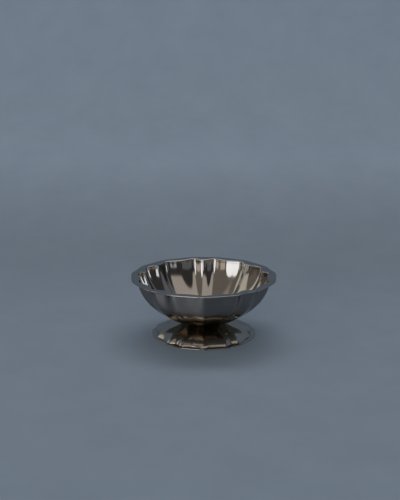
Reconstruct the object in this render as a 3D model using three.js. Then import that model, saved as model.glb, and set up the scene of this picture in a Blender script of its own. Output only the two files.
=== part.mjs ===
// Sorbet coupe: a fluted bowl with a turned-out rim, brazed to a low fluted foot.
// Millimetres, +Z up. The origin is on the turning axis, in the plane that the foot stands on.
// A groove faces +Y and the middle of a petal faces -Y, the front.
import * as THREE from 'three';

// Overall sizes
const HEIGHT = 41.2; // from the table to the top of the rim
const SHEET = 0.8; // thickness of the pressed sheet
const SEAT_DIAMETER = 25; // flat discs where bowl and foot meet
const NECK_HEIGHT = 9.0; // from the table to the bowl's flat underside

// Flute pattern, shared by bowl and foot
const PETALS = 5; // wide petals, each with a groove on either side
const GROOVE_ANGLE = THREE.MathUtils.degToRad(19); // from crease to crease of a groove
const CREASE_ANGLE = THREE.MathUtils.degToRad(4); // reach of the rounding on either side of a crease

// Bowl
const BOWL_DIAMETER = 92; // middle of the sheet under the rim, on the creases
const BOWL_FULLNESS = 1.87; // 2 is an elliptical wall, less is nearer to a cone
const BOWL_GROOVE_DEPTH = 3.4; // at the top of the wall
const BOWL_DIP_DEPTH = 2.3; // shallow hollow in each half of a petal
const BOWL_FLUTE_FADE = 1.2; // how fast the flutes run out towards the bottom
const WALL_END_ANGLE = THREE.MathUtils.degToRad(85); // of a quarter turn, leaning out at the top
const RIM_BEND_HEIGHT = 0.5; // rise of the bend from the wall to the level rim
const RIM_WIDTH = 3.3; // level part of the rim, from the bend to the rounded lip
const RIM_GROOVE_DEPTH = 2.3; // where the rim starts
const RIM_DIP_DEPTH = 1.6;
const LIP_GROOVE_DEPTH = 0.9; // scallops left at the lip
const LIP_DIP_DEPTH = 0.7;

// Foot
const DOME_DIAMETER = 66.8; // where the skirt meets the flat flange, on the creases
const DOME_SHOULDER = 6.5; // how far the dome's round top carries outwards
const DOME_SHOULDER_DROP = 2.4;
const DOME_SKIRT_WIDTH = 2.6; // run and fall of the steep skirt below the dome
const DOME_SKIRT_HEIGHT = 5.0;
const DOME_GROOVE_DEPTH = 2.2;
const DOME_DIP_DEPTH = 1.6;
const FLANGE_WIDTH = 2.2; // from the skirt to the rounded edge
const EDGE_GROOVE_DEPTH = 0.8; // scallops left at the foot's edge
const EDGE_DIP_DEPTH = 0.5;

// Brazed seam
const BRAZE_DIAMETER = 24;
const BRAZE_THICKNESS = 0.2;

// Fineness of the faceted surfaces
const GROOVE_STEPS = 4; // from the bottom of a groove to its crease
const DIP_STEPS = 8; // from a groove's crease to the middle of a petal
const WALL_ROWS = 10;
const BEND_ROWS = 3;
const DOME_ROWS = 8;
const DISC_SIDES = 60;
const STEP = 1e-4; // parameter step for slopes

// Derived sizes
const HALF_SHEET = SHEET / 2;
const SEAT_RADIUS = SEAT_DIAMETER / 2;
const HALF_GROOVE = GROOVE_ANGLE / 2;
const HALF_PITCH = Math.PI / PETALS;

// Share of the depth of a hollow arc, from the distance inside its rounded crease and its half width
function hollowArc(inside, half) {
  const soft = (distance) => Math.hypot(distance, CREASE_ANGLE) - CREASE_ANGLE;
  const share = soft(Math.max(0, inside)) / soft(half);
  return share * (2 - share);
}

// Depth shares of the grooves and of the petals' dips at an angle round the axis
function fluteWave(angle) {
  const pitch = 2 * HALF_PITCH;
  const fromBack = angle - Math.PI / 2;
  const away = Math.abs(fromBack - pitch * Math.round(fromBack / pitch));
  const insideDip = Math.min(away - HALF_GROOVE, HALF_PITCH - away);
  return {
    groove: hollowArc(HALF_GROOVE - away, HALF_GROOVE),
    dip: hollowArc(insideDip, (HALF_PITCH - HALF_GROOVE) / 2),
  };
}

// Angles that fall on every groove, crease and ridge
function fluteAngles() {
  const half = [];
  for (let i = 0; i < GROOVE_STEPS; i += 1) {
    half.push((HALF_GROOVE * i) / GROOVE_STEPS);
  }
  for (let i = 0; i <= DIP_STEPS; i += 1) {
    half.push(HALF_GROOVE + ((HALF_PITCH - HALF_GROOVE) * i) / DIP_STEPS);
  }
  const before = half.slice(1, -1).reverse().map((a) => -a);
  const angles = [];
  for (let petal = 0; petal < PETALS; petal += 1) {
    const groove = Math.PI / 2 + 2 * HALF_PITCH * petal;
    angles.push(...before.map((a) => groove + a), ...half.map((a) => groove + a));
  }
  return angles;
}

// A row is one station of a profile: radius, height and flute depths there
function row(radius, height, groove = 0, dip = 0) {
  return { radius, height, groove, dip };
}

// Stations of one stretch of a profile, each with its neighbours for the slope
function stretch(section, count) {
  return Array.from({ length: count }, (_, i) => {
    const t = i / count;
    return { at: section(t), inner: section(t - STEP), outer: section(t + STEP) };
  });
}

// A level station, where the sheet lies flat
function level(station) {
  return { at: station, flat: true };
}

// Point of the middle of the sheet
function sheetPoint(station, angle) {
  const wave = fluteWave(angle);
  const radius = station.radius - station.groove * wave.groove - station.dip * wave.dip;
  return new THREE.Vector3(radius * Math.cos(angle), radius * Math.sin(angle), station.height);
}

// Upward normal of the middle of the sheet
function sheetNormal(station, angle) {
  if (station.flat) {
    return new THREE.Vector3(0, 0, 1);
  }
  const outwards = sheetPoint(station.outer, angle).sub(sheetPoint(station.inner, angle));
  const around = sheetPoint(station.at, angle + STEP).sub(sheetPoint(station.at, angle - STEP));
  return outwards.cross(around).normalize();
}

// Closed shell: upper face from the axis to the edge, a rounded edge, lower face back to the axis
function shellGeometry(stations) {
  const angles = fluteAngles();
  const face = (station, side) => angles.map((angle) => sheetPoint(station.at, angle)
    .addScaledVector(sheetNormal(station, angle), side * HALF_SHEET));
  const edge = angles.map((angle) => sheetPoint(stations.at(-1).at, angle)
    .add(new THREE.Vector3(HALF_SHEET * Math.cos(angle), HALF_SHEET * Math.sin(angle), 0)));
  const upper = stations.map((station) => face(station, 1));
  const lower = stations.map((station) => face(station, -1)).reverse();
  const rings = [...upper, edge, ...lower];
  const middle = stations[0].at.height;
  return ringsGeometry(rings, middle + HALF_SHEET, middle - HALF_SHEET);
}

// Joins rings of equal count, and closes the first and last ring on the axis
function ringsGeometry(rings, topHeight, bottomHeight) {
  const count = rings[0].length;
  const top = new THREE.Vector3(0, 0, topHeight);
  const bottom = new THREE.Vector3(0, 0, bottomHeight);
  const points = [top, ...rings.flat(), bottom];
  const last = points.length - 1;
  const at = (ring, i) => 1 + ring * count + (i % count);
  const index = [];
  for (let i = 0; i < count; i += 1) {
    index.push(0, at(0, i), at(0, i + 1));
    for (let ring = 0; ring < rings.length - 1; ring += 1) {
      index.push(at(ring, i), at(ring + 1, i), at(ring + 1, i + 1));
      index.push(at(ring, i), at(ring + 1, i + 1), at(ring, i + 1));
    }
    index.push(at(rings.length - 1, i), last, at(rings.length - 1, i + 1));
  }
  const geometry = new THREE.BufferGeometry().setFromPoints(points);
  geometry.setIndex(index);
  geometry.computeVertexNormals();
  return geometry;
}

// Wall of the bowl: part of a quarter of a superellipse, from the flat bottom to the rim's bend
function bowlWall(seatHeight, topHeight) {
  const power = 2 / BOWL_FULLNESS;
  const topRadius = BOWL_DIAMETER / 2;
  const fullRadius = topRadius / Math.sin(WALL_END_ANGLE) ** power;
  const seatTurn = Math.asin((SEAT_RADIUS / fullRadius) ** (1 / power));
  const drop = (turn) => Math.cos(turn) ** power;
  const fullDepth = (topHeight - seatHeight) / (drop(seatTurn) - drop(WALL_END_ANGLE));
  const section = (t) => {
    const turn = THREE.MathUtils.lerp(seatTurn, WALL_END_ANGLE, t);
    const radius = fullRadius * Math.sin(turn) ** power;
    const height = topHeight - fullDepth * (drop(turn) - drop(WALL_END_ANGLE));
    const reach = Math.max(0, (radius - SEAT_RADIUS) / (topRadius - SEAT_RADIUS));
    const share = reach ** BOWL_FLUTE_FADE;
    return row(radius, height, BOWL_GROOVE_DEPTH * share, BOWL_DIP_DEPTH * share);
  };
  const lean = Math.atan(fullRadius / fullDepth / Math.tan(WALL_END_ANGLE) ** (2 - power));
  return { section, lean };
}

// Bowl: flat bottom, full wall, bend and level rim
function bowlStations() {
  const wallRadius = BOWL_DIAMETER / 2;
  const rimHeight = HEIGHT - HALF_SHEET;
  const wallTop = rimHeight - RIM_BEND_HEIGHT;
  const seatHeight = NECK_HEIGHT + HALF_SHEET;
  const wall = bowlWall(seatHeight, wallTop);
  const bendRadius = RIM_BEND_HEIGHT / (1 - Math.sin(wall.lean));
  const bend = (t) => {
    const turn = THREE.MathUtils.lerp(wall.lean, Math.PI / 2, t);
    const radius = wallRadius + bendRadius * (Math.cos(wall.lean) - Math.cos(turn));
    const height = wallTop + bendRadius * (Math.sin(turn) - Math.sin(wall.lean));
    const share = 1 - Math.cos((Math.PI / 2) * t);
    const groove = THREE.MathUtils.lerp(BOWL_GROOVE_DEPTH, RIM_GROOVE_DEPTH, share);
    const dip = THREE.MathUtils.lerp(BOWL_DIP_DEPTH, RIM_DIP_DEPTH, share);
    return row(radius, height, groove, dip);
  };
  const rimStart = wallRadius + bendRadius * Math.cos(wall.lean);
  return [
    level(row(SEAT_RADIUS, seatHeight)),
    ...stretch(wall.section, WALL_ROWS).slice(1),
    ...stretch(bend, BEND_ROWS),
    level(row(rimStart, rimHeight, RIM_GROOVE_DEPTH, RIM_DIP_DEPTH)),
    level(row(rimStart + RIM_WIDTH, rimHeight, LIP_GROOVE_DEPTH, LIP_DIP_DEPTH)),
  ];
}

// Foot: flat top, low dome with a steep skirt, and the flat flange that it stands on
function footStations() {
  const topHeight = NECK_HEIGHT - BRAZE_THICKNESS - HALF_SHEET;
  const flangeHeight = HALF_SHEET;
  const domeRadius = DOME_DIAMETER / 2;
  const profile = new THREE.CubicBezierCurve(
    new THREE.Vector2(SEAT_RADIUS, topHeight),
    new THREE.Vector2(SEAT_RADIUS + DOME_SHOULDER, topHeight - DOME_SHOULDER_DROP),
    new THREE.Vector2(domeRadius - DOME_SKIRT_WIDTH, flangeHeight + DOME_SKIRT_HEIGHT),
    new THREE.Vector2(domeRadius, flangeHeight),
  );
  const dome = (t) => {
    const point = profile.getPoint(t);
    const share = THREE.MathUtils.smoothstep(point.x, SEAT_RADIUS, domeRadius);
    return row(point.x, point.y, DOME_GROOVE_DEPTH * share, DOME_DIP_DEPTH * share);
  };
  return [
    level(row(SEAT_RADIUS, topHeight)),
    ...stretch(dome, DOME_ROWS).slice(1),
    level(row(domeRadius, flangeHeight, DOME_GROOVE_DEPTH, DOME_DIP_DEPTH)),
    level(row(domeRadius + FLANGE_WIDTH, flangeHeight, EDGE_GROOVE_DEPTH, EDGE_DIP_DEPTH)),
  ];
}

// Thin disc of brazing metal between the two flat seats
function brazeGeometry() {
  const bottom = NECK_HEIGHT - BRAZE_THICKNESS;
  const radius = BRAZE_DIAMETER / 2;
  const ring = (height) => Array.from({ length: DISC_SIDES }, (_, i) => {
    const angle = (2 * Math.PI * i) / DISC_SIDES;
    return new THREE.Vector3(radius * Math.cos(angle), radius * Math.sin(angle), height);
  });
  return ringsGeometry([ring(NECK_HEIGHT), ring(bottom)], NECK_HEIGHT, bottom);
}

function piece(name, geometry, color, roughness) {
  const material = new THREE.MeshStandardMaterial({ color, roughness, metalness: 1 });
  const mesh = new THREE.Mesh(geometry, material);
  mesh.name = name;
  return mesh;
}

const coupe = new THREE.Group();
coupe.name = 'sorbet_coupe';
coupe.add(
  piece('bowl', shellGeometry(bowlStations()), 0xc9c4bc, 0.06),
  piece('foot', shellGeometry(footStations()), 0xc9c4bc, 0.07),
  piece('braze_disc', brazeGeometry(), 0xb9ad96, 0.45),
);

export default coupe;
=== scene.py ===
"""Looks for the sorbet coupe: two smooth steel shells, the brazed seam, a paper sweep and a softly lit room."""

import math

import bpy
import numpy as np
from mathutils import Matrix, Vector


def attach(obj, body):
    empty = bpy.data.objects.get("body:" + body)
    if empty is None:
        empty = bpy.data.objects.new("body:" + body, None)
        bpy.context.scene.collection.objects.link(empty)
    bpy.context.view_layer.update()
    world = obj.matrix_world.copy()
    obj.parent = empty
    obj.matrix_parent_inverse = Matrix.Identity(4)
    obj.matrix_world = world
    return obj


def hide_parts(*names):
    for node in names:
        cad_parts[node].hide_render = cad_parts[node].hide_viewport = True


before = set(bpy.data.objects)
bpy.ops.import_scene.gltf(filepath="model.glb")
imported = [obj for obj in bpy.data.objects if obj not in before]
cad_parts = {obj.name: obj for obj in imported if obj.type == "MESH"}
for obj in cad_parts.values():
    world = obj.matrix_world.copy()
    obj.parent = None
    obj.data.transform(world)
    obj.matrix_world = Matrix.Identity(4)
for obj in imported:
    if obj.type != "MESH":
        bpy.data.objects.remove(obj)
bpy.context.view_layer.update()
MM = 0.001

# Sizes of the coupe, in millimetres, as in the CAD source
HEIGHT = 41.2
SHEET = 0.8
SEAT_RADIUS = 12.5
NECK_HEIGHT = 9.0
BRAZE_THICKNESS = 0.2
PETALS = 5
HALF_GROOVE = math.radians(9.5)
HALF_PITCH = math.pi / PETALS
CREASE = math.radians(4.0)

# Flute depths are pairs: grooves, and the two dips of a petal
WALL_RADIUS = 46.0
BOWL_FULLNESS = 1.87
WALL_END = math.radians(85.0)
RIM_BEND_HEIGHT = 0.5
RIM_WIDTH = 3.3
BOWL_FLUTES = (3.4, 2.3)
RIM_FLUTES = (2.3, 1.6)
LIP_FLUTES = (0.9, 0.7)
BOWL_FLUTE_FADE = 1.2

DOME_RADIUS = 33.4
FLANGE_WIDTH = 2.2
DOME_SHOULDER = 6.5
DOME_SHOULDER_DROP = 2.4
DOME_SKIRT = 2.6
DOME_SKIRT_HEIGHT = 5.0
DOME_FLUTES = (2.2, 1.6)
EDGE_FLUTES = (0.8, 0.5)

# Fineness of the smooth surfaces
GROOVE_STEPS = 12
DIP_STEPS = 24
SEAT_ROWS = 8
WALL_ROWS = 56
BEND_ROWS = 12
RIM_ROWS = 10
DOME_ROWS = 44
EDGE_ROWS = 9
SWEEP_STEPS = 24
TURN_STEP = 1e-4
LEVEL = 1e-9

# Steel: tint at a glancing angle, brushing around the axis, and where a face counts as outer by its normal's height
GLANCING_TINT = (0.64, 0.65, 0.67, 1)
BRUSHING = 0.9
QUARTER_TURN = 0.25
OUTER_FROM, OUTER_TO = -0.05, 0.1
FACES_UP, FACES_DOWN = 1, -1

# Stage and camera, in metres and degrees
PAPER_LIGHT = (0.176, 0.222, 0.278)
PAPER_DARK = (0.160, 0.203, 0.256)
FLOOR_GLOW = 0.18
BACKDROP_GLOW = 0.62
GLOW_HEIGHT = 0.06
SWEEP_FRONT = -1.0
SWEEP_START = 0.12
SWEEP_BEND = 0.48
SWEEP_TOP = 0.72
SWEEP_HALF_WIDTH = 1.0
FLOOR_REACH = 8.0
FLOOR_HEIGHT = -0.0005

CAMERA_PLACE = (0.0, -0.658, 0.2305)
CAMERA_DOWN = 14.58
CAMERA_TURN = 0.224
LENS_MM = 72.0
SENSOR_MM = 36.0
VIEW_END = 50.0

# Lamps: name, shape, place, size, power and colour
LAMP_AIM = (0, 0, 0.03)
LAMPS = (
    ("window", "ELLIPSE", (-0.795, -1.272, 0.29), (0.72, 1.80), 5.5, (0.94, 0.965, 1.0)),
    ("doorway", "RECTANGLE", (-0.19, -1.46, 0.36), (0.34, 0.80), 0.85, (0.97, 0.98, 1.0)),
    ("curtain", "RECTANGLE", (-1.32, -0.80, 0.30), (0.40, 0.60), 0.40, (1.0, 0.84, 0.72)),
    ("side_window", "RECTANGLE", (1.27, -0.05, 0.27), (0.24, 0.36), 0.42, (0.86, 0.93, 1.0)),
    ("far_window", "RECTANGLE", (0.62, -1.38, 0.30), (0.14, 0.34), 0.08, (0.86, 0.93, 1.0)),
    ("blue_wall", "RECTANGLE", (1.29, -0.77, 0.32), (0.47, 0.47), 0.09, (0.80, 0.90, 1.0)),
)

# Room: colours laid over one another, each with the parts of the direction between which it fades in
DIM = (0.045, 0.042, 0.040)
CEILING = (0.56, 0.50, 0.45), (("Z", 0.55, 0.66), ("Y", 0.32, 0.20))
LEFT_WALL = (0.20, 0.175, 0.15), (("X", -0.22, -0.36),)
RIGHT_WALL = (0.05, 0.048, 0.046), (("X", 0.53, 0.62),)
FAR_LEFT = (0.13, 0.105, 0.08), (("X", -0.93, -0.97),)
PALE_WALL = (0.78, 0.72, 0.61), (
    ("Y", 0.02, 0.08), ("X", -0.40, -0.55), ("Z", 0.17, 0.22), ("Z", 0.70, 0.64), ("Y", 0.48, 0.42),
)
BACK_RIGHT = (0.17, 0.187, 0.21), (("Y", 0.16, 0.26), ("X", 0.32, 0.42))
SKY_MIRRORED = (1.30, 1.30, 1.30)
SKY_LIGHT = (3.8, 3.95, 4.1)
SKY_PLACE = (("Y", 0.24, 0.36), ("Z", 0.74, 0.82))
SEEN_STRAIGHT = (0.15, 0.187, 0.233)

# Sockets of a Mix node that are used for colours
MIX_FACTOR, MIX_ONE, MIX_OTHER, MIX_RESULT = 0, 6, 7, 2


# Flute pattern
def flute_angles():
    """Angles that fall on every groove, corner and ridge, counted from +X."""
    half = [HALF_GROOVE * i / GROOVE_STEPS for i in range(GROOVE_STEPS)]
    half += [HALF_GROOVE + (HALF_PITCH - HALF_GROOVE) * i / DIP_STEPS for i in range(DIP_STEPS + 1)]
    petal = np.array([-a for a in half[-2:0:-1]] + half)
    grooves = math.pi / 2 + 2 * HALF_PITCH * np.arange(PETALS)
    return (grooves[:, None] + petal[None, :]).ravel()


def flute_wave(angles):
    """Depth shares of the grooves and of the petals' dips: hollow arcs between rounded creases."""
    pitch = 2 * HALF_PITCH
    from_back = angles - math.pi / 2
    away = np.abs(from_back - pitch * np.round(from_back / pitch))
    span = HALF_PITCH - HALF_GROOVE
    groove = hollow_arc(np.maximum(HALF_GROOVE - away, 0), HALF_GROOVE)
    dip = hollow_arc(np.maximum(np.minimum(away - HALF_GROOVE, HALF_PITCH - away), 0), span / 2)
    return groove, dip


def hollow_arc(inside, half):
    """Share of the depth of an arc, from the distance inside its crease and its half width."""
    soft = (np.hypot(inside, CREASE) - CREASE) / (math.hypot(half, CREASE) - CREASE)
    return soft * (2 - soft)


def between(start, end, share):
    """Flute depths part of the way from one pair to another."""
    return [a + (b - a) * share for a, b in zip(start, end)]


# Profiles: rows of radius, height, groove depth and dip depth
def bowl_rows():
    """Flat seat, wall as part of a superellipse, bend and flat rim."""
    rim_height = HEIGHT - SHEET / 2
    wall_top = rim_height - RIM_BEND_HEIGHT
    seat_height = NECK_HEIGHT + SHEET / 2
    power = 2 / BOWL_FULLNESS
    full_radius = WALL_RADIUS / math.sin(WALL_END) ** power
    seat_turn = math.asin((SEAT_RADIUS / full_radius) ** (1 / power))
    full_depth = (wall_top - seat_height) / (math.cos(seat_turn) ** power - math.cos(WALL_END) ** power)
    full_height = wall_top + full_depth * math.cos(WALL_END) ** power
    lean = math.atan(full_radius / full_depth / math.tan(WALL_END) ** (2 - power))
    bend = RIM_BEND_HEIGHT / (1 - math.sin(lean))
    rows = [(SEAT_RADIUS * i / SEAT_ROWS, seat_height, 0.0, 0.0) for i in range(1, SEAT_ROWS)]
    for i in range(WALL_ROWS):
        turn = seat_turn + (WALL_END - seat_turn) * i / WALL_ROWS
        radius = full_radius * math.sin(turn) ** power
        reach = max(0.0, (radius - SEAT_RADIUS) / (WALL_RADIUS - SEAT_RADIUS))
        share = reach ** BOWL_FLUTE_FADE
        height = full_height - full_depth * math.cos(turn) ** power
        rows.append((radius, height, BOWL_FLUTES[0] * share, BOWL_FLUTES[1] * share))
    for i in range(BEND_ROWS):
        t = i / BEND_ROWS
        turn = lean + (math.pi / 2 - lean) * t
        radius = WALL_RADIUS + bend * (math.cos(lean) - math.cos(turn))
        height = wall_top + bend * (math.sin(turn) - math.sin(lean))
        rows.append((radius, height, *between(BOWL_FLUTES, RIM_FLUTES, 1 - math.cos(math.pi / 2 * t))))
    rim_start = WALL_RADIUS + bend * math.cos(lean)
    for i in range(RIM_ROWS + 1):
        t = i / RIM_ROWS
        rows.append((rim_start + RIM_WIDTH * t, rim_height, *between(RIM_FLUTES, LIP_FLUTES, t)))
    return np.array(rows)


def foot_rows():
    """Flat seat, dome and skirt as one cubic curve, and flat flange."""
    top_height = NECK_HEIGHT - BRAZE_THICKNESS - SHEET / 2
    flange_height = SHEET / 2
    ends = np.array([
        (SEAT_RADIUS, top_height),
        (SEAT_RADIUS + DOME_SHOULDER, top_height - DOME_SHOULDER_DROP),
        (DOME_RADIUS - DOME_SKIRT, flange_height + DOME_SKIRT_HEIGHT),
        (DOME_RADIUS, flange_height),
    ])
    rows = [(SEAT_RADIUS * i / SEAT_ROWS, top_height, 0.0, 0.0) for i in range(1, SEAT_ROWS)]
    for i in range(DOME_ROWS):
        t = i / DOME_ROWS
        weights = np.array([(1 - t) ** 3, 3 * t * (1 - t) ** 2, 3 * t * t * (1 - t), t ** 3])
        radius, height = weights @ ends
        reach = (radius - SEAT_RADIUS) / (DOME_RADIUS - SEAT_RADIUS)
        share = reach * reach * (3 - 2 * reach)
        rows.append((radius, height, DOME_FLUTES[0] * share, DOME_FLUTES[1] * share))
    for i in range(RIM_ROWS + 1):
        t = i / RIM_ROWS
        rows.append((DOME_RADIUS + FLANGE_WIDTH * t, flange_height, *between(DOME_FLUTES, EDGE_FLUTES, t)))
    return np.array(rows)


# Closed shells of even thickness
def shell_points(rows):
    """Rings of points: upper face outwards, rounded edge, lower face inwards."""
    angles = flute_angles()
    groove, dip = flute_wave(angles)
    after, before = flute_wave(angles + TURN_STEP), flute_wave(angles - TURN_STEP)
    groove_slope, dip_slope = ((a - b) / (2 * TURN_STEP) for a, b in zip(after, before))
    cos, sin = np.cos(angles), np.sin(angles)
    radius = rows[:, :1] - rows[:, 2:3] * groove - rows[:, 3:4] * dip
    height = np.repeat(rows[:, 1:2], len(angles), axis=1)
    around = -rows[:, 2:3] * groove_slope - rows[:, 3:4] * dip_slope
    out_r = np.gradient(radius, axis=0)
    out_z = np.gradient(height, axis=0)
    level = np.abs(np.gradient(rows[:, 1])) < LEVEL
    ring = np.stack([radius * cos, radius * sin, height], axis=-1)
    outwards = np.stack([out_r * cos, out_r * sin, out_z], axis=-1)
    sideways = np.stack([around * cos - radius * sin, around * sin + radius * cos, 0 * radius], axis=-1)
    normal = np.cross(outwards, sideways)
    normal /= np.linalg.norm(normal, axis=-1, keepdims=True)
    up = np.array((0, 0, 1))
    normal[level] = up
    half = SHEET / 2
    edge = []
    outer = np.stack([cos, sin, 0 * cos], axis=-1)
    for i in range(1, EDGE_ROWS):
        turn = math.pi * i / EDGE_ROWS
        edge.append(ring[-1] + half * (math.sin(turn) * outer + math.cos(turn) * up))
    return np.concatenate([ring + half * normal, edge, (ring - half * normal)[::-1]])


def shell(name, rows, material):
    """Mesh object of one pressed shell, closed on the axis above and below."""
    rings = shell_points(rows) * MM
    count, columns = rings.shape[:2]
    middle = rows[0, 1]
    top, bottom = (0, 0, (middle + SHEET / 2) * MM), (0, 0, (middle - SHEET / 2) * MM)
    points = [tuple(p) for p in rings.reshape(-1, 3)] + [top, bottom]
    faces = []
    for j in range(columns):
        k = (j + 1) % columns
        faces.append((len(points) - 2, j, k))
        for i in range(count - 1):
            faces.append((i * columns + j, (i + 1) * columns + j, (i + 1) * columns + k, i * columns + k))
        faces.append(((count - 1) * columns + j, len(points) - 1, (count - 1) * columns + k))
    return smooth_mesh(name, points, faces, material)


def smooth_mesh(name, points, faces, material):
    mesh = bpy.data.meshes.new(name)
    mesh.from_pydata(points, [], faces)
    mesh.shade_smooth()
    mesh.materials.append(material)
    return put(name, mesh)


def put(name, data):
    """An object with this data, in the scene."""
    obj = bpy.data.objects.new(name, data)
    bpy.context.scene.collection.objects.link(obj)
    return obj


# Nodes
def fill(tree, socket, value):
    """Link a socket to another one, or give it a plain value."""
    if isinstance(value, bpy.types.NodeSocket):
        tree.links.new(value, socket)
    else:
        socket.default_value = value


def add(tree, kind, **values):
    """A node with its plain properties and, by name, what goes into its sockets."""
    node = tree.nodes.new(kind)
    for key, value in values.items():
        if hasattr(node, key):
            setattr(node, key, value)
        else:
            fill(tree, node.inputs[key.replace("_", " ")], value)
    return node


def noise(tree, place, **values):
    return add(tree, "ShaderNodeTexNoise", Vector=place, **values).outputs["Fac"]


def remap(tree, value, **limits):
    return add(tree, "ShaderNodeMapRange", Value=value, **limits).outputs["Result"]


def fade(tree, value, start, end):
    """Smooth step from 0 at the start to 1 at the end, which may be the lower value."""
    return remap(tree, value, interpolation_type="SMOOTHSTEP", From_Min=start, From_Max=end)


def combine(tree, operation, one, other):
    node = add(tree, "ShaderNodeMath", operation=operation)
    for socket, value in zip(node.inputs, (one, other)):
        tree.links.new(value, socket)
    return node.outputs["Value"]


def mix(tree, factor, one, other, blend_type="MIX"):
    """Mix of two colours, each plain or from a socket."""
    node = add(tree, "ShaderNodeMix", data_type="RGBA", blend_type=blend_type)
    tree.links.new(factor, node.inputs[MIX_FACTOR])
    for index, colour in ((MIX_ONE, one), (MIX_OTHER, other)):
        fill(tree, node.inputs[index], (*colour, 1) if isinstance(colour, tuple) else colour)
    return node.outputs[MIX_RESULT]


def ramp(tree, factor, *stops):
    """Colour between two stops, each a place and a colour."""
    node = add(tree, "ShaderNodeValToRGB", Fac=factor)
    for element, (place, colour) in zip(node.color_ramp.elements, stops):
        element.position = place
        element.color = (*colour, 1)
    return node.outputs["Color"]


def object_place(tree):
    return add(tree, "ShaderNodeTexCoord").outputs["Object"]


def height_of(tree, vector):
    return add(tree, "ShaderNodeSeparateXYZ", Vector=vector).outputs["Z"]


def seen(tree):
    """Whether the eye looks straight at a thing, and whether it sees it at all, as in a mirror or through glass."""
    path = add(tree, "ShaderNodeLightPath").outputs
    straight = path["Is Camera Ray"]
    mirrored = combine(tree, "ADD", path["Is Glossy Ray"], path["Is Transmission Ray"])
    return straight, combine(tree, "ADD", straight, mirrored)


# Materials
def new_material(name, make_inputs):
    """A material whose shader takes the inputs that the function makes from the node tree."""
    material = bpy.data.materials.new(name)
    material.use_nodes = True
    tree = material.node_tree
    for key, value in make_inputs(tree).items():
        fill(tree, tree.nodes["Principled BSDF"].inputs[key], value)
    return material


def polished_steel(name, clean, dull, hazy, outer_side, band, satin, painted_shades):
    """Polished sheet with a faint cloudy tint, hazy wiping marks and fine hairlines.

    In a band of heights its outer side is brushed around to a satin roughness. Its colour there is multiplied by the
    second of two painted shades, and elsewhere on that side by the first: painted shade that stands in for the darker
    surroundings which that side mirrors.
    """
    def inputs(tree):
        place = object_place(tree)
        normal = add(tree, "ShaderNodeNewGeometry").outputs["Normal"]
        outer = fade(tree, height_of(tree, normal), OUTER_FROM * outer_side, OUTER_TO * outer_side)
        on_band = fade(tree, height_of(tree, place), *band)

        cloud = noise(tree, place, Scale=60.0, Detail=4.0, Roughness=0.55)
        tint = ramp(tree, cloud, (0.35, dull), (0.65, clean))
        # Painted shade: the outer side's colour is darkened by the painted shades
        colour = mix(tree, outer, tint, mix(tree, on_band, *painted_shades), blend_type="MULTIPLY")

        haze = noise(tree, place, Scale=220.0, Detail=6.0, Roughness=0.6, Distortion=0.4)
        polish = remap(tree, haze, From_Min=0.3, From_Max=0.75, To_Min=hazy[0], To_Max=hazy[1])
        brushed = remap(tree, combine(tree, "MULTIPLY", outer, on_band), To_Max=satin)
        around = add(tree, "ShaderNodeTangent", direction_type="RADIAL", axis="Z").outputs["Tangent"]

        stretched = add(tree, "ShaderNodeMapping", Vector=place, Scale=(1.0, 1.0, 9.0)).outputs["Vector"]
        hairlines = noise(tree, stretched, Scale=900.0, Detail=3.0, Roughness=0.5)
        bump = add(tree, "ShaderNodeBump", Strength=0.02, Distance=0.00005, Height=hairlines).outputs["Normal"]
        return {
            "Metallic": 1,
            "Specular Tint": GLANCING_TINT,
            "Base Color": colour,
            "Roughness": combine(tree, "ADD", polish, brushed),
            "Anisotropic": BRUSHING,
            "Anisotropic Rotation": QUARTER_TURN,
            "Tangent": around,
            "Normal": bump,
        }
    return new_material(name, inputs)


def braze_metal():
    """Dull, slightly golden filler metal with a grainy skin."""
    def inputs(tree):
        grain = noise(tree, object_place(tree), Scale=700.0, Detail=5.0, Roughness=0.6)
        return {
            "Metallic": 1,
            "Base Color": ramp(tree, grain, (0.3, (0.34, 0.28, 0.19)), (0.7, (0.55, 0.48, 0.36))),
            "Roughness": remap(tree, grain, To_Min=0.35, To_Max=0.6),
        }
    return new_material("braze_metal", inputs)


def blue_grey_paper():
    """Matt paper with a faint mottle, partly lit by itself where the eye or a mirror sees it."""
    def inputs(tree):
        place = object_place(tree)
        mottle = noise(tree, place, Scale=25.0, Detail=8.0, Roughness=0.65)
        tint = ramp(tree, mottle, (0.3, PAPER_DARK), (0.7, PAPER_LIGHT))
        height = height_of(tree, place)
        glow = remap(tree, height, From_Min=0.0, From_Max=GLOW_HEIGHT, To_Min=FLOOR_GLOW, To_Max=BACKDROP_GLOW)
        _, at_all = seen(tree)
        return {
            "Roughness": 0.85,
            "Specular IOR Level": 0.2,
            "Base Color": tint,
            "Emission Color": tint,
            "Emission Strength": combine(tree, "MULTIPLY", at_all, glow),
        }
    return new_material("blue_grey_paper", inputs)


# Stage, light and camera
def sheet(name, profile, half_width, material):
    """A sheet of paper with the given side profile."""
    points = [(x, y, z) for y, z in profile for x in (-half_width, half_width)]
    faces = [(2 * i, 2 * i + 1, 2 * i + 3, 2 * i + 2) for i in range(len(profile) - 1)]
    obj = smooth_mesh(name, points, faces, material)


def sweep():
    """Wide paper floor, and a sheet on it that rises into a backdrop behind the coupe."""
    material = blue_grey_paper()
    profile = [(SWEEP_FRONT, 0.0), (SWEEP_START, 0.0)]
    for i in range(1, SWEEP_STEPS + 1):
        turn = math.pi / 2 * i / SWEEP_STEPS
        profile.append((SWEEP_START + SWEEP_BEND * math.sin(turn), SWEEP_BEND * (1 - math.cos(turn))))
    profile.append((SWEEP_START + SWEEP_BEND, SWEEP_TOP))
    sheet("paper_sweep", profile, SWEEP_HALF_WIDTH, material)
    sheet("paper_floor", [(-FLOOR_REACH, FLOOR_HEIGHT), (FLOOR_REACH, FLOOR_HEIGHT)], FLOOR_REACH, material)


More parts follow.
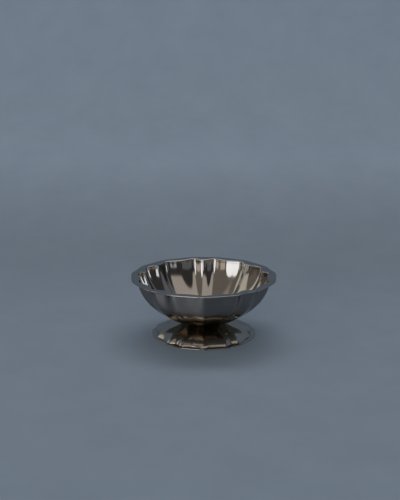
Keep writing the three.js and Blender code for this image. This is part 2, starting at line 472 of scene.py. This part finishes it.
def soft_light(name, shape, place, size, power, colour):
    lamp = bpy.data.lights.new(name, "AREA")
    lamp.shape = shape
    lamp.size, lamp.size_y = size
    lamp.energy = power
    lamp.color = colour
    obj = put(name, lamp)
    obj.location = place
    obj.rotation_euler = (Vector(LAMP_AIM) - Vector(place)).to_track_quat("-Z", "Y").to_euler()


def room():
    """Dim room with pale and dark sides that the steel mirrors, and a sky behind that lights; the camera sees paper."""
    world = bpy.data.worlds.new("room")
    bpy.context.scene.world = world
    world.use_nodes = True
    tree = world.node_tree
    coords = add(tree, "ShaderNodeTexCoord")
    direction = add(tree, "ShaderNodeSeparateXYZ", Vector=coords.outputs["Generated"]).outputs

    def share(fades):
        """Product of fades along the parts of the direction."""
        product, *others = [fade(tree, direction[axis], start, end) for axis, start, end in fades]
        for other in others:
            product = combine(tree, "MULTIPLY", product, other)
        return product

    colour = DIM
    for tint, fades in (CEILING, LEFT_WALL, RIGHT_WALL, FAR_LEFT, PALE_WALL, BACK_RIGHT):
        colour = mix(tree, share(fades), colour, tint)
    sky = share(SKY_PLACE)
    straight, at_all = seen(tree)
    unseen = remap(tree, at_all, From_Min=1.0, From_Max=0.0)
    colour = mix(tree, sky, colour, SKY_MIRRORED)
    colour = mix(tree, combine(tree, "MULTIPLY", sky, unseen), colour, SKY_LIGHT)
    colour = mix(tree, straight, colour, SEEN_STRAIGHT)
    tree.links.new(colour, tree.nodes["Background"].inputs["Color"])


def camera():
    data = bpy.data.cameras.new("camera")
    data.sensor_fit = "VERTICAL"
    data.sensor_height = SENSOR_MM
    data.lens = LENS_MM
    data.clip_end = VIEW_END
    obj = put("camera", data)
    obj.location = CAMERA_PLACE
    obj.rotation_euler = (math.radians(90 - CAMERA_DOWN), 0.0, math.radians(CAMERA_TURN))
    bpy.context.scene.camera = obj


camera()
sweep()
room()
for lamp in LAMPS:
    soft_light(*lamp)

bowl_steel = polished_steel(
    "bowl_steel",
    clean=(0.47, 0.457, 0.438), dull=(0.43, 0.415, 0.392), hazy=(0.07, 0.11),
    outer_side=FACES_DOWN, band=(0.0225, 0.0285), satin=0.34,
    # painted shade: the underside darker and browner, the upper outer wall darker, for the dark surroundings they
    # mirror
    painted_shades=((0.78, 0.69, 0.58), (0.67, 0.67, 0.69)),
)
foot_steel = polished_steel(
    "foot_steel",
    clean=(0.44, 0.425, 0.40), dull=(0.40, 0.38, 0.35), hazy=(0.09, 0.14),
    outer_side=FACES_UP, band=(0.0058, 0.0038), satin=0.05,
    # painted shade: the dome a little darker and warmer than the skirt and flange
    painted_shades=((1.0, 0.96, 0.90), (1.0, 1.0, 1.0)),
)
bowl = shell("bowl_shell", bowl_rows(), bowl_steel)
foot = shell("foot_shell", foot_rows(), foot_steel)
for piece, node, slot in ((bowl, "bowl", "bowl_steel"), (foot, "foot", "foot_steel")):
    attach(piece, "root")
    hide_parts(node)
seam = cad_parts["braze_disc"]
seam.data.materials.clear()
seam.data.materials.append(braze_metal())

bpy.context.scene.view_settings.view_transform = "Standard"
